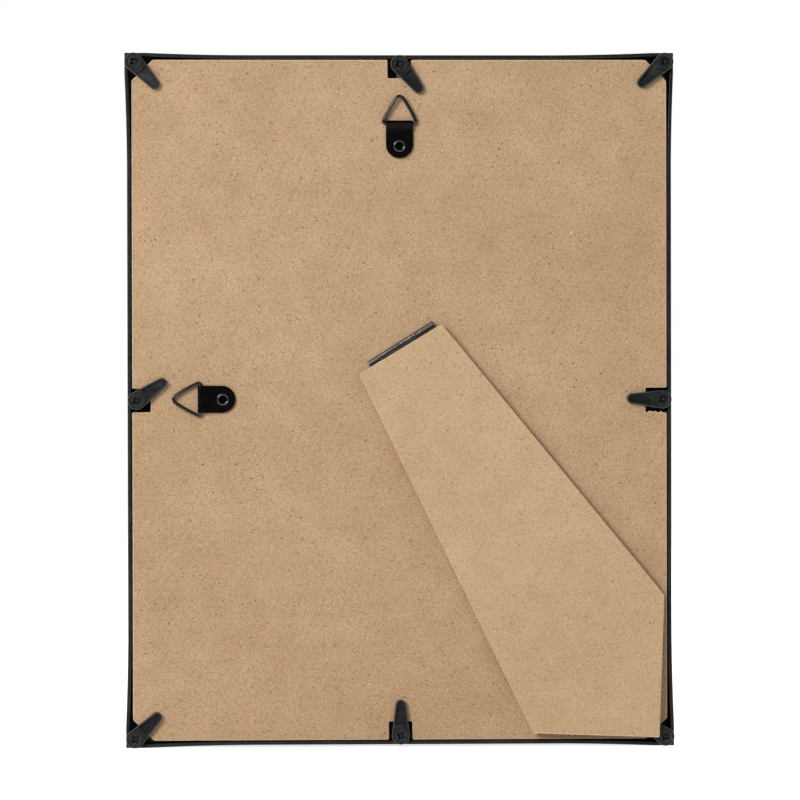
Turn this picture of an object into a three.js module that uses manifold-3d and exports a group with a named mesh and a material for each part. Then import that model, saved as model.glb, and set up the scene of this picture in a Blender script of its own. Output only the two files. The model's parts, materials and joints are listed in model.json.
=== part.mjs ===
// A letter-size picture frame: a black moulded frame, glazing, a bare insert sheet and a hardboard back, which
// is held by eight turn buttons and carries two ring hangers and a folding easel strut.
// Millimetres, +Z up. The picture faces -Y and the back, with all its hardware, faces +Y. The origin is under
// the middle of the whole frame, level with its lower corners. Inside the group backView everything is laid out
// as seen from the back: x runs to the viewer's right, y up and z from the front face out of the back.
import * as THREE from "three";
import { mergeVertices } from "three/addons/utils/BufferGeometryUtils.js";
import Module from "manifold-3d";

const wasm = await Module();
wasm.setup();

// Driving dimensions of the sheets held in the frame
const SHEET_WIDTH = 215.9;
const SHEET_HEIGHT = 279.4;
const GLASS_THICK = 2.0;
const SHEET_THICK = 0.3;
const PANEL_THICK = 3.0;
const STACK_GAP = 0.05; // air between two sheets of the stack
const SHEET_TRIM = 0.3; // the insert is this much smaller than the glazing, all round

// Driving dimensions of the frame moulding
const RAIL_BEYOND_SHEET = 12.0; // from the glazing's edge to the outside of the frame
const SIGHT_LAP = 5.0; // how far the front lip covers the glazing
const SEAT_WIDTH = 4.2;
const DEPTH = 13.5; // from the front face to the rear rim
const WALL = 1.6;
const FACE_SKIN = 2.0;
const EDGE_BEVEL = 0.8;
const SIGHT_BEVEL_WIDTH = 5.0;
const SIGHT_BEVEL_DEPTH = 4.0;
const DRAW_IN = 1.05; // the outside is drawn in by this along the middle of each side
const DRAW_LENGTH = 48.0;
const DRAW_STEPS = 5;
const CORNER_FLAT = 9.0; // each corner stays square for this length
const POST_RADIUS = 3.7;
const POST_SUNK = 1.0; // how far a screw post is rooted in the face skin
const PIVOT_INSET = 4.0; // from the outside to a screw's axis
const RIB_WIDTH = 2.4;
const GLASS_SIDE_GAP = 0.4;

// Driving dimensions of the backing panel
const PANEL_CLEARANCE = 0.45; // to the drawn-in rim
const NOTCH_SIDE_GAP = 1.45; // from a screw post to its notch, sideways
const NOTCH_END_GAP = 2.4; // from a screw post to its notch, towards the middle
const CORNER_CUT_GAP = 1.5; // from a corner post to the cut corner

// Driving dimensions of the turn buttons and their screws
const BUTTON_HEAD_RADIUS = 3.95;
const BUTTON_TIP_RADIUS = 2.25;
const BUTTON_REACH = 15.6; // from the screw's axis to the tip
const BUTTON_THICK = 2.6;
const BUTTON_LIFT = 0.1; // running gap under a button
const POCKET_START = 5.0;
const POCKET_RIM = 0.85;
const POCKET_DEPTH = 1.0;
const SCREW_HEAD_RADIUS = 2.6;
const SCREW_RADIUS = 1.45;
const SCREW_SINK = 0.3; // the screw's head lies this deep in the button
const SCREW_IN_POST = 6.0;
const SCREW_TIP = 1.2;
const SCREW_FIT = 0.1; // running gap between screw and button
const THREAD_FIT = 0.05; // between screw and post
const RECESS_SPAN = 3.7;
const RECESS_WIDTH = 0.9;
const RECESS_DEPTH = 0.9;

// Driving dimensions of the ring hangers
const PORTRAIT_BAR_INSET = 31.0; // from the top of the frame to the ring's bar
const LANDSCAPE_BAR_INSET = 33.0; // from the side of the frame to the ring's bar
const LANDSCAPE_BAR_RISE = 0.5; // from the middle of the frame up to the bar's middle
const PORTRAIT_RING_LIFT = 6; // degrees by which the ring stands off the panel
const LANDSCAPE_RING_LIFT = 2;
const WIRE_RADIUS = 0.75;
const RING_HEIGHT = 12.6; // from the bar's middle to the outside of the apex
const RING_BASE_BEND = 1.05; // radius of the wire's middle line
const RING_APEX_BEND = 2.0;
const RING_SIDE_BOW = 4; // degrees by which a side turns outwards at its ends
const RING_PAST_STRAP = 0.05; // the wire stays straight this far past the strap
const RING_JOINT_GAP = 0.4; // where the wire's two ends meet, inside the strap
const RING_FIT = 0.06;
const STRAP_WIDTH = 11.9;
const STRAP_REACH = 15.1; // from the bar to the strap's round end
const STRAP_SHEET = 0.6;
const STRAP_SLOPE_END = 3.4; // from the bar to where the fold lies flat
const SEAT_GAP = 0.05; // between a piece and the panel that it is fixed to
const EYELET_FROM_BAR = 9.6;
const EYELET_FLANGE_RADIUS = 2.75;
const EYELET_BARREL_RADIUS = 2.1;
const EYELET_BORE_RADIUS = 1.65;
const EYELET_FLANGE_THICK = 0.5;
const EYELET_ROLL = 0.2; // the flange's rolled edge rises by this
const EYELET_FIT = 0.05;

// Driving dimensions of the strut and its hinge
const HINGE_ACROSS = 0.4; // from the frame's middle to the barrel's middle
const HINGE_UP = 176.3; // from the bottom of the frame to the barrel's middle
const HINGE_TURN = 32.1; // degrees
const KNUCKLE_LENGTHS = [5.6, 18.7, 9.1]; // panel leaf, strut leaf, panel leaf
const KNUCKLE_GAP = 0.1;
const BARREL_RADIUS = 1.15;
const PIN_RADIUS = 0.55;
const PIN_FIT = 0.05;
const LEAF_THICK = 0.6;
const LEAF_WIDTH = 22.0;
const LEAF_CLEAR = 0.3; // between a leaf's plate and the other leaf's knuckles
const STRUT_THICK = 2.5;
const STRUT_TILT = 0.35; // degrees by which the folded strut stands off the panel
const STRUT_SHOULDER_DROPS = [1.5, 2.2]; // from the barrel's axis to the strut's two upper corners
const STRUT_SHOULDERS = [-22.6, 19.6]; // along the barrel, to those corners
const STRUT_SIDE_RISE = 66.3; // from the bottom of the frame to the strut's side corner
const STRUT_SIDE_GAPS = [4.7, 6.9]; // from the frame's side to the strut's side corner and toe
const STRUT_FOOT_GAPS = [4.0, 6.0]; // from the bottom of the frame to the strut's toe and heel
const STRUT_FOOT_LENGTH = 55.3;
const PRONG_WIDTH = 3.0;
const PRONG_LENGTH = 1.5;
const PRONG_SPREAD = 18.0; // between the two prongs of a leaf
const PRONG_FROM_AXIS = 15.0;
const PRONG_FIT = 0.1;

// Facets
const ARC_STEPS = 10;
const ROUND_STEPS = 16;
const WIRE_SIDES = 8;
const WIRE_STEPS = 60;
const MERGE_DISTANCE = 1e-4;
const CUT_PAST = 1.0; // a cutting shape runs this far past the surface that it cuts

// Levels behind the front face, worked out from the stack
const PANEL_BACK = DEPTH;
const PANEL_FRONT = PANEL_BACK - PANEL_THICK;
const SHEET_FRONT = PANEL_FRONT - STACK_GAP - SHEET_THICK;
const GLASS_FRONT = SHEET_FRONT - STACK_GAP - GLASS_THICK;
const SEAT = GLASS_FRONT - STACK_GAP;
const POST_FOOT = FACE_SKIN - POST_SUNK;
const BUTTON_BOTTOM = DEPTH + BUTTON_LIFT;
const BUTTON_TOP = BUTTON_BOTTOM + BUTTON_THICK;

// Widths, worked out from the sheet
const FRAME_WIDTH = SHEET_WIDTH + 2 * RAIL_BEYOND_SHEET;
const FRAME_HEIGHT = SHEET_HEIGHT + 2 * RAIL_BEYOND_SHEET;
const FACE_WIDTH = RAIL_BEYOND_SHEET + SIGHT_LAP;
const PANEL_INSET = DRAW_IN + WALL + PANEL_CLEARANCE;
const PANEL_WIDTH = FRAME_WIDTH - 2 * PANEL_INSET;
const MIDDLE = FRAME_HEIGHT / 2;

// The eight turn buttons: the side or corner each sits at, the direction of its nose in degrees, and for one how
// much deeper its notch in the panel is
const BUTTONS = [
  { place: "top_left", across: -1, up: 1, nose: -47 },
  { place: "top", across: 0, up: 1, nose: -52 },
  { place: "top_right", across: 1, up: 1, nose: -137 },
  { place: "left", across: -1, up: 0, nose: 35 },
  { place: "right", across: 1, up: 0, nose: 178, deeper: 1.2 },
  { place: "bottom_left", across: -1, up: -1, nose: 45 },
  { place: "bottom", across: 0, up: -1, nose: 90 },
  { place: "bottom_right", across: 1, up: -1, nose: 144 },
];

// Finishes
const blackPlastic = { color: 0x2a2a2b, roughness: 0.55, metalness: 0.0 };
const buttonPlastic = { color: 0x303132, roughness: 0.6, metalness: 0.0 };
const blackSteel = { color: 0x161514, roughness: 0.3, metalness: 0.6 };
const hardboard = { color: 0xbe9d7a, roughness: 0.85, metalness: 0.0 };
const strutBoard = { color: 0xc3a481, roughness: 0.85, metalness: 0.0 };
const clearGlass = { color: 0xeef4f2, roughness: 0.05, metalness: 0.0, transparent: true, opacity: 0.3 };
const barePaper = { color: 0xf1efe9, roughness: 0.9, metalness: 0.0 };

// Joining and cutting
function solidOf(geometry) {
  const bare = geometry.clone();
  bare.deleteAttribute("normal");
  bare.deleteAttribute("uv");
  const merged = mergeVertices(bare, MERGE_DISTANCE);
  const vertProperties = merged.attributes.position.array;
  const triVerts = new Uint32Array(merged.index.array);
  return new wasm.Manifold(new wasm.Mesh({ numProp: 3, vertProperties, triVerts }));
}

function geometryOf(solid) {
  const mesh = solid.getMesh();
  const geometry = new THREE.BufferGeometry();
  geometry.setAttribute("position", new THREE.BufferAttribute(mesh.vertProperties, 3));
  geometry.setIndex(new THREE.BufferAttribute(mesh.triVerts, 1));
  return geometry;
}

// One geometry made of `base`, with all geometries in `added` joined on and then all in `removed` cut away
function carve(base, added, removed) {
  let solid = solidOf(base);
  for (const geometry of added) solid = solid.add(solidOf(geometry));
  for (const geometry of removed) solid = solid.subtract(solidOf(geometry));
  return geometryOf(solid);
}

function named(name, geometry, finish) {
  geometry.computeVertexNormals();
  const mesh = new THREE.Mesh(geometry, new THREE.MeshStandardMaterial(finish));
  mesh.name = name;
  return mesh;
}

// Plain shapes, each from one level to another
function plate(shape, low, high) {
  const settings = { depth: high - low, bevelEnabled: false, curveSegments: ARC_STEPS };
  return new THREE.ExtrudeGeometry(shape, settings).translate(0, 0, low);
}

function block(left, right, bottom, top, low, high) {
  const box = new THREE.BoxGeometry(right - left, top - bottom, high - low);
  return box.translate((left + right) / 2, (bottom + top) / 2, (low + high) / 2);
}

function rod(radius, x, y, low, high) {
  const cylinder = new THREE.CylinderGeometry(radius, radius, high - low, ROUND_STEPS);
  return cylinder.rotateX(Math.PI / 2).translate(x, y, (low + high) / 2);
}

// A turned shape about the z axis; each point of its outline is [radius, level]
function turned(outline) {
  const points = outline.map(([radius, level]) => new THREE.Vector2(radius, level));
  return new THREE.LatheGeometry(points, ROUND_STEPS).rotateX(Math.PI / 2);
}

// A rod along x
function crossRod(radius, from, to) {
  const cylinder = new THREE.CylinderGeometry(radius, radius, to - from, ROUND_STEPS);
  return cylinder.rotateZ(Math.PI / 2).translate((from + to) / 2, 0, 0);
}

// A flat outline in the y-z plane, drawn as (y, z), made solid along x
function sidePlate(shape, left, right) {
  const turn = new THREE.Matrix4().makeBasis(
    new THREE.Vector3(0, 1, 0),
    new THREE.Vector3(0, 0, 1),
    new THREE.Vector3(1, 0, 0),
  );
  return plate(shape, left, right).applyMatrix4(turn);
}

// Where a turn button sits: corners keep the full outline, and the middles of the sides are drawn in
function pivotOf({ across, up }) {
  const besideInset = PIVOT_INSET + (up === 0 ? DRAW_IN : 0);
  const aboveInset = PIVOT_INSET + (across === 0 ? DRAW_IN : 0);
  const x = across * (FRAME_WIDTH / 2 - besideInset);
  const y = MIDDLE + up * (FRAME_HEIGHT / 2 - aboveInset);
  return new THREE.Vector3(x, y, 0);
}

// The frame moulding: one section carried round the four sides, with mitred corners. Each point of the section
// has its inset from the outline, its level, and whether it follows the drawn-in outside.
function mouldingSection() {
  const channelEnd = FACE_WIDTH - SEAT_WIDTH;
  return [
    { inset: 0, level: EDGE_BEVEL, follows: 1 },
    { inset: EDGE_BEVEL, level: 0, follows: 1 },
    { inset: FACE_WIDTH - SIGHT_BEVEL_WIDTH, level: 0, follows: 0 },
    { inset: FACE_WIDTH, level: SIGHT_BEVEL_DEPTH, follows: 0 },
    { inset: FACE_WIDTH, level: SEAT, follows: 0 },
    { inset: channelEnd, level: SEAT, follows: 0 },
    { inset: channelEnd, level: FACE_SKIN, follows: 0 },
    { inset: WALL, level: FACE_SKIN, follows: 1 },
    { inset: WALL, level: DEPTH, follows: 1 },
    { inset: 0, level: DEPTH, follows: 1 },
  ];
}

// Distances from a side's first corner at which the moulding has a section
function sectionStops(length) {
  const stops = [];
  for (let step = 0; step <= DRAW_STEPS; step++) stops.push(CORNER_FLAT + (DRAW_LENGTH * step) / DRAW_STEPS);
  const mirrored = stops.map((stop) => length - stop).reverse();
  return [0, ...stops, ...mirrored];
}

// How far the outside is drawn in at a distance from the nearer corner: a parabola up to the straight middle
function drawnIn(distance) {
  const share = THREE.MathUtils.clamp((distance - CORNER_FLAT) / DRAW_LENGTH, 0, 1);
  return DRAW_IN * (1 - (1 - share) ** 2);
}

function mouldingRing() {
  const right = FRAME_WIDTH / 2;
  const sides = [
    { corner: [-right, 0], along: [1, 0], inward: [0, 1], length: FRAME_WIDTH },
    { corner: [right, 0], along: [0, 1], inward: [-1, 0], length: FRAME_HEIGHT },
    { corner: [right, FRAME_HEIGHT], along: [-1, 0], inward: [0, -1], length: FRAME_WIDTH },
    { corner: [-right, FRAME_HEIGHT], along: [0, -1], inward: [1, 0], length: FRAME_HEIGHT },
  ];
  const section = mouldingSection();
  const positions = [];
  for (const { corner, along, inward, length } of sides) {
    for (const stop of sectionStops(length)) {
      const draw = drawnIn(Math.min(stop, length - stop));
      for (const { inset, level, follows } of section) {
        const run = inset + (stop * (length - 2 * inset)) / length;
        const depth = inset + follows * draw;
        const x = corner[0] + along[0] * run + inward[0] * depth;
        const y = corner[1] + along[1] * run + inward[1] * depth;
        positions.push(x, y, level);
      }
    }
  }
  const around = positions.length / 3 / section.length;
  const index = [];
  for (let i = 0; i < around; i++) {
    for (let j = 0; j < section.length; j++) {
      const nextI = (i + 1) % around;
      const nextJ = (j + 1) % section.length;
      const a = i * section.length + j;
      const b = nextI * section.length + j;
      const c = nextI * section.length + nextJ;
      const d = i * section.length + nextJ;
      index.push(a, c, b, a, d, c);
    }
  }
  const ring = new THREE.BufferGeometry();
  ring.setAttribute("position", new THREE.Float32BufferAttribute(positions, 3));
  ring.setIndex(index);
  return ring;
}

// A rib from the post at the middle of a side to the glazing's edge, which keeps the glazing in place
function glassRib(button) {
  const pivot = pivotOf(button);
  const half = RIB_WIDTH / 2;
  const low = POST_FOOT;
  const high = GLASS_FRONT + GLASS_THICK;
  if (button.up === 0) {
    const end = button.across * (SHEET_WIDTH / 2 + GLASS_SIDE_GAP);
    const [left, right] = [Math.min(pivot.x, end), Math.max(pivot.x, end)];
    return block(left, right, pivot.y - half, pivot.y + half, low, high);
  }
  const end = MIDDLE + button.up * (SHEET_HEIGHT / 2 + GLASS_SIDE_GAP);
  const [bottom, top] = [Math.min(pivot.y, end), Math.max(pivot.y, end)];
  return block(pivot.x - half, pivot.x + half, bottom, top, low, high);
}

function frameMoulding() {
  const posts = [];
  const pilots = [];
  for (const button of BUTTONS) {
    const { x, y } = pivotOf(button);
    posts.push(rod(POST_RADIUS, x, y, POST_FOOT, DEPTH));
    pilots.push(rod(SCREW_RADIUS + THREAD_FIT, x, y, DEPTH - SCREW_IN_POST - THREAD_FIT, DEPTH + CUT_PAST));
  }
  const ribs = BUTTONS.filter(({ across, up }) => across === 0 || up === 0).map(glassRib);
  return named("frame_moulding", carve(mouldingRing(), [...posts, ...ribs], pilots), blackPlastic);
}

// The sheets of the stack
function sheet(name, trim, low, thick, finish) {
  const half = SHEET_WIDTH / 2 - trim;
  const rise = SHEET_HEIGHT / 2 - trim;
  return named(name, block(-half, half, MIDDLE - rise, MIDDLE + rise, low, low + thick), finish);
}

// Places of the hangers and the hinge on the panel's back
function placeAt(x, y, degrees, lift) {
  const turn = new THREE.Matrix4().makeRotationZ(THREE.MathUtils.degToRad(degrees));
  return turn.setPosition(x, y, PANEL_BACK + lift);
}

const AXIS_LIFT = SEAT_GAP + BARREL_RADIUS;
const HANGERS = [
  { use: "portrait", place: placeAt(0, FRAME_HEIGHT - PORTRAIT_BAR_INSET, 0, 0), lift: PORTRAIT_RING_LIFT },
  {
    use: "landscape",
    place: placeAt(LANDSCAPE_BAR_INSET - FRAME_WIDTH / 2, MIDDLE + LANDSCAPE_BAR_RISE, 90, 0),
    lift: LANDSCAPE_RING_LIFT,
  },
];
const HINGE_PLACE = placeAt(HINGE_ACROSS, HINGE_UP, HINGE_TURN, AXIS_LIFT);

// The backing panel: cut corners, notches round the side posts, holes for the eyelets, slits for the hinge
function panelOutline() {
  const right = PANEL_WIDTH / 2;
  const bottom = PANEL_INSET;
  const top = FRAME_HEIGHT - PANEL_INSET;
  const cut = Math.SQRT2 * (POST_RADIUS + CORNER_CUT_GAP) + 2 * (PIVOT_INSET - PANEL_INSET);
  const outline = new THREE.Shape();
  outline.moveTo(-right + cut, bottom);
  outline.lineTo(right - cut, bottom);
  outline.lineTo(right, bottom + cut);
  outline.lineTo(right, top - cut);
  outline.lineTo(right - cut, top);
  outline.lineTo(-right + cut, top);
  outline.lineTo(-right, top - cut);
  outline.lineTo(-right, bottom + cut);
  return outline;
}

function panelNotch(button) {
  const { x, y } = pivotOf(button);
  const side = POST_RADIUS + NOTCH_SIDE_GAP;
  const inner = POST_RADIUS + NOTCH_END_GAP + (button.deeper ?? 0);
  const outer = PIVOT_INSET + CUT_PAST;
  const left = button.across > 0 ? inner : button.across < 0 ? outer : side;
  const right = button.across > 0 ? outer : button.across < 0 ? inner : side;
  const below = button.up > 0 ? inner : button.up < 0 ? outer : side;
  const above = button.up > 0 ? outer : button.up < 0 ? inner : side;
  return block(x - left, x + right, y - below, y + above, PANEL_FRONT - CUT_PAST, PANEL_BACK + CUT_PAST);
}

function eyeletHole(place) {
  const barrel = EYELET_BARREL_RADIUS + EYELET_FIT;
  const flange = EYELET_FLANGE_RADIUS + EYELET_FIT;
  const flangeLevel = -PANEL_THICK + EYELET_FLANGE_THICK + EYELET_FIT;
  const through = rod(barrel, 0, -EYELET_FROM_BAR, -PANEL_THICK - CUT_PAST, CUT_PAST);
  const recess = rod(flange, 0, -EYELET_FROM_BAR, -PANEL_THICK - CUT_PAST, flangeLevel);
  return [through.applyMatrix4(place), recess.applyMatrix4(place)];
}

// The two prongs of a hinge leaf, or with a fit the slits they are pressed into, between two levels
function prongs(low, high, fit) {
  return [-1, 1].map((side) => {
    const x = (side * PRONG_SPREAD) / 2;
    const half = PRONG_WIDTH / 2 + fit;
    const across = LEAF_THICK / 2 + fit;
    return block(x - half, x + half, -PRONG_FROM_AXIS - across, -PRONG_FROM_AXIS + across, low, high);
  });
}

function backingPanel() {
  const notches = BUTTONS.filter(({ across, up }) => across === 0 || up === 0).map(panelNotch);
  const holes = HANGERS.flatMap(({ place }) => eyeletHole(place));
  const slitEnd = -BARREL_RADIUS - PRONG_LENGTH - PRONG_FIT;
  const slits = prongs(slitEnd, 0, PRONG_FIT).map((slit) => slit.applyMatrix4(HINGE_PLACE));
  const board = plate(panelOutline(), PANEL_FRONT, PANEL_BACK);
  return named("backing_panel", carve(board, [], [...notches, ...holes, ...slits]), hardboard);
}

// A turn button, pivot at its origin and nose along x: a lever with a countersunk head and a pocket in its nose
function teardrop(headRadius, tipRadius, tipAt) {
  const lean = Math.acos((headRadius - tipRadius) / tipAt);
  const outline = new THREE.Shape();
  outline.absarc(0, 0, headRadius, lean, 2 * Math.PI - lean, false);
  outline.absarc(tipAt, 0, tipRadius, -lean, lean, false);
  return outline;
}

function turnButton({ place, nose, ...where }) {
  const tipAt = BUTTON_REACH - BUTTON_TIP_RADIUS;
  const lever = plate(teardrop(BUTTON_HEAD_RADIUS, BUTTON_TIP_RADIUS, tipAt), 0, BUTTON_THICK);
  const pocketFloor = BUTTON_THICK - POCKET_DEPTH;
  const pocketOutline = teardrop(BUTTON_HEAD_RADIUS - POCKET_RIM, BUTTON_TIP_RADIUS - POCKET_RIM, tipAt);
  const pocketWhole = plate(pocketOutline, pocketFloor, BUTTON_THICK + CUT_PAST);
  const headKept = rod(POCKET_START, 0, 0, pocketFloor - CUT_PAST, BUTTON_THICK + 2 * CUT_PAST);
  const pocket = carve(pocketWhole, [], [headKept]);
  const headRadius = SCREW_HEAD_RADIUS + SCREW_FIT;
  const holeRadius = SCREW_RADIUS + SCREW_FIT;
  const headLevel = BUTTON_THICK - SCREW_SINK;
  const hole = turned([
    [0, -CUT_PAST],
    [holeRadius, -CUT_PAST],
    [holeRadius, headLevel - (headRadius - holeRadius)],
    [headRadius, headLevel],
    [headRadius, BUTTON_THICK + CUT_PAST],
    [0, BUTTON_THICK + CUT_PAST],
  ]);
  const button = named(`turn_button_${place}`, carve(lever, [], [pocket, hole]), buttonPlastic);
  button.position.copy(pivotOf(where)).setZ(BUTTON_BOTTOM);
  button.rotation.z = THREE.MathUtils.degToRad(nose);
  return button;
}

// A countersunk screw with a cross recess, its axis at its origin, standing in its post
function buttonScrew({ place, ...where }) {
  const top = BUTTON_TOP - SCREW_SINK;
  const neck = top - (SCREW_HEAD_RADIUS - SCREW_RADIUS);
  const end = DEPTH - SCREW_IN_POST;
  const body = turned([
    [0, end],
    [SCREW_RADIUS - SCREW_TIP / 2, end],
    [SCREW_RADIUS, end + SCREW_TIP],
    [SCREW_RADIUS, neck],
    [SCREW_HEAD_RADIUS, top],
    [0, top],
  ]);
  const arm = RECESS_SPAN / 2;
  const half = RECESS_WIDTH / 2;
  const recess = [
    block(-arm, arm, -half, half, top - RECESS_DEPTH, top + CUT_PAST),
    block(-half, half, -arm, arm, top - RECESS_DEPTH, top + CUT_PAST),
  ];
  const screw = named(`turn_button_screw_${place}`, carve(body, [], recess), blackSteel);
  screw.position.copy(pivotOf(where));
  return screw;
}

// A ring hanger, its bar along x through (0, 0, BAR_LIFT): a folded strap, a wire ring and an eyelet
const LOOP_BORE = WIRE_RADIUS + RING_FIT;
const LOOP_RADIUS = LOOP_BORE + STRAP_SHEET;
const BAR_LIFT = SEAT_GAP + LOOP_RADIUS;
const STRAP_TOP = SEAT_GAP + 2 * STRAP_SHEET;

function strapSide() {
  const side = new THREE.Shape();
  side.moveTo(-STRAP_REACH, SEAT_GAP);
  side.lineTo(0, SEAT_GAP);
  side.absarc(0, BAR_LIFT, LOOP_RADIUS, -Math.PI / 2, Math.PI / 2, false);
  side.lineTo(-STRAP_SLOPE_END, STRAP_TOP);
  side.lineTo(-STRAP_REACH, STRAP_TOP);
  const bore = new THREE.Path();
  bore.absarc(0, BAR_LIFT, LOOP_BORE, 0, 2 * Math.PI, true);
  side.holes.push(bore);
  return side;
}

function hangerStrap(use) {
  const half = STRAP_WIDTH / 2;
  const plan = new THREE.Shape();
  plan.moveTo(half, LOOP_RADIUS + CUT_PAST);
  plan.lineTo(-half, LOOP_RADIUS + CUT_PAST);
  plan.lineTo(-half, half - STRAP_REACH);
  plan.absarc(0, half - STRAP_REACH, half, Math.PI, 2 * Math.PI, false);
  const folded = solidOf(sidePlate(strapSide(), -half - CUT_PAST, half + CUT_PAST));
  const cutOut = solidOf(plate(plan, -CUT_PAST, BAR_LIFT + LOOP_RADIUS + CUT_PAST));
  const hole = rod(EYELET_BARREL_RADIUS + EYELET_FIT, 0, -EYELET_FROM_BAR, -CUT_PAST, STRAP_TOP + CUT_PAST);
  const strap = folded.intersect(cutOut).subtract(solidOf(hole));
  return named(`hanger_strap_${use}`, geometryOf(strap), blackSteel);
}

// Continues an outline by a bowed line that leaves one arc and meets the next, at the given angles, smoothly
function bowTo(outline, leaving, x, y, arriving) {
  const from = outline.currentPoint.clone();
  const reach = Math.hypot(x - from.x, y - from.y) / 3;
  const firstX = from.x - reach * Math.sin(leaving);
  const firstY = from.y + reach * Math.cos(leaving);
  const secondX = x + reach * Math.sin(arriving);
  const secondY = y - reach * Math.cos(arriving);
  outline.bezierCurveTo(firstX, firstY, secondX, secondY, x, y);
}

// The wire's middle line: from the joint in the bar, round one bend, the apex and the other bend, and back
class RingLine extends THREE.Curve {
  constructor() {
    super();
    const bendAt = STRAP_WIDTH / 2 + RING_PAST_STRAP;
    const apexAt = RING_HEIGHT - WIRE_RADIUS - RING_APEX_BEND;
    const rise = apexAt - RING_BASE_BEND;
    const spread = Math.hypot(bendAt, rise);
    const sideTurn = Math.atan2(rise, -bendAt) - Math.acos((RING_BASE_BEND - RING_APEX_BEND) / spread);
    const bow = THREE.MathUtils.degToRad(RING_SIDE_BOW);
    const lower = sideTurn - bow;
    const upper = sideTurn + bow;
    const apexX = RING_APEX_BEND * Math.cos(upper);
    const apexY = apexAt + RING_APEX_BEND * Math.sin(upper);
    const baseX = bendAt + RING_BASE_BEND * Math.cos(lower);
    const baseY = RING_BASE_BEND + RING_BASE_BEND * Math.sin(lower);
    this.outline = new THREE.Path();
    this.outline.moveTo(RING_JOINT_GAP / 2, 0);
    this.outline.lineTo(bendAt, 0);
    this.outline.absarc(bendAt, RING_BASE_BEND, RING_BASE_BEND, -Math.PI / 2, lower, false);
    bowTo(this.outline, lower, apexX, apexY, upper);
    this.outline.absarc(0, apexAt, RING_APEX_BEND, upper, Math.PI - upper, false);
    bowTo(this.outline, Math.PI - upper, -baseX, baseY, Math.PI - lower);
    this.outline.absarc(-bendAt, RING_BASE_BEND, RING_BASE_BEND, Math.PI - lower, 1.5 * Math.PI, false);
    this.outline.lineTo(-RING_JOINT_GAP / 2, 0);
  }

  getPoint(share) {
    const { x, y } = this.outline.getPoint(share);
    return new THREE.Vector3(x, y, 0);
  }
}

function hangerRing(use, lift) {
  const wire = new THREE.Shape();
  for (let side = 0; side < WIRE_SIDES; side++) {
    const turn = (2 * Math.PI * side) / WIRE_SIDES;
    const x = WIRE_RADIUS * Math.cos(turn);
    const y = WIRE_RADIUS * Math.sin(turn);
    if (side === 0) wire.moveTo(x, y);
    else wire.lineTo(x, y);
  }
  const settings = { steps: WIRE_STEPS, extrudePath: new RingLine(), bevelEnabled: false };
  const ring = named(`hanger_ring_${use}`, new THREE.ExtrudeGeometry(wire, settings), blackSteel);
  ring.position.z = BAR_LIFT;
  ring.rotation.x = THREE.MathUtils.degToRad(lift);
  return ring;
}

// A hollow rivet with a closed foot, flanged on both sides
function hangerEyelet(use) {
  const top = STRAP_TOP + EYELET_FIT;
  const bottom = -PANEL_THICK + STACK_GAP;
  const floor = bottom + EYELET_FLANGE_THICK;
  const outline = [
    [0, bottom],
    [EYELET_FLANGE_RADIUS, bottom],
    [EYELET_FLANGE_RADIUS, bottom + EYELET_FLANGE_THICK - STACK_GAP],
    [EYELET_BARREL_RADIUS, bottom + EYELET_FLANGE_THICK - STACK_GAP],
    [EYELET_BARREL_RADIUS, top],
    [EYELET_FLANGE_RADIUS, top],
    [EYELET_FLANGE_RADIUS, top + EYELET_FLANGE_THICK / 2],
    [(EYELET_FLANGE_RADIUS + EYELET_BORE_RADIUS) / 2, top + EYELET_FLANGE_THICK / 2 + EYELET_ROLL],
    [EYELET_BORE_RADIUS, top + EYELET_FLANGE_THICK / 2],
    [EYELET_BORE_RADIUS, floor],
    [0, floor],
  ];
  const eyelet = turned(outline).translate(0, -EYELET_FROM_BAR, 0);
  return named(`hanger_eyelet_${use}`, eyelet, blackSteel);
}

function hanger({ use, place, lift }) {
  const group = new THREE.Group();
  group.applyMatrix4(place);
  group.add(hangerStrap(use), hangerRing(use, lift), hangerEyelet(use));
  return group;
}

// The strut's hinge, its barrel along x through its origin: each leaf is a plate with its own knuckles
const BARREL_LENGTH = KNUCKLE_LENGTHS.reduce((sum, length) => sum + length, 0) + 2 * KNUCKLE_GAP;
const KNUCKLES = KNUCKLE_LENGTHS.map((length, order) => {
  const before = KNUCKLE_LENGTHS.slice(0, order).reduce((sum, earlier) => sum + earlier, 0);
  const from = before + order * KNUCKLE_GAP - BARREL_LENGTH / 2;
  return { from, to: from + length };
});

// A leaf's plate lies from `low` to `high`, tongues join it to its knuckles, and its prongs reach to `prongEnd`
function hingeLeaf(name, knuckles, low, high, prongEnd) {
  const plateStart = -BARREL_RADIUS - LEAF_CLEAR;
  const body = block(-BARREL_LENGTH / 2, BARREL_LENGTH / 2, -LEAF_WIDTH, plateStart, low, high);
  const added = prongs(Math.min(prongEnd, low), Math.max(prongEnd, high), 0);
  const bores = [];
  for (const { from, to } of knuckles) {
    added.push(crossRod(BARREL_RADIUS, from, to));
    added.push(block(from, to, plateStart - LEAF_CLEAR, 0, low, high));
    bores.push(crossRod(PIN_RADIUS + PIN_FIT, from - KNUCKLE_GAP / 2, to + KNUCKLE_GAP / 2));
  }
  return named(name, carve(body, added, bores), blackSteel);
}

// A point of the frame's back, seen from the barrel
function fromBarrel(x, y) {
  return new THREE.Vector3(x, y, 0).applyMatrix4(HINGE_PLACE.clone().invert());
}

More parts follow.
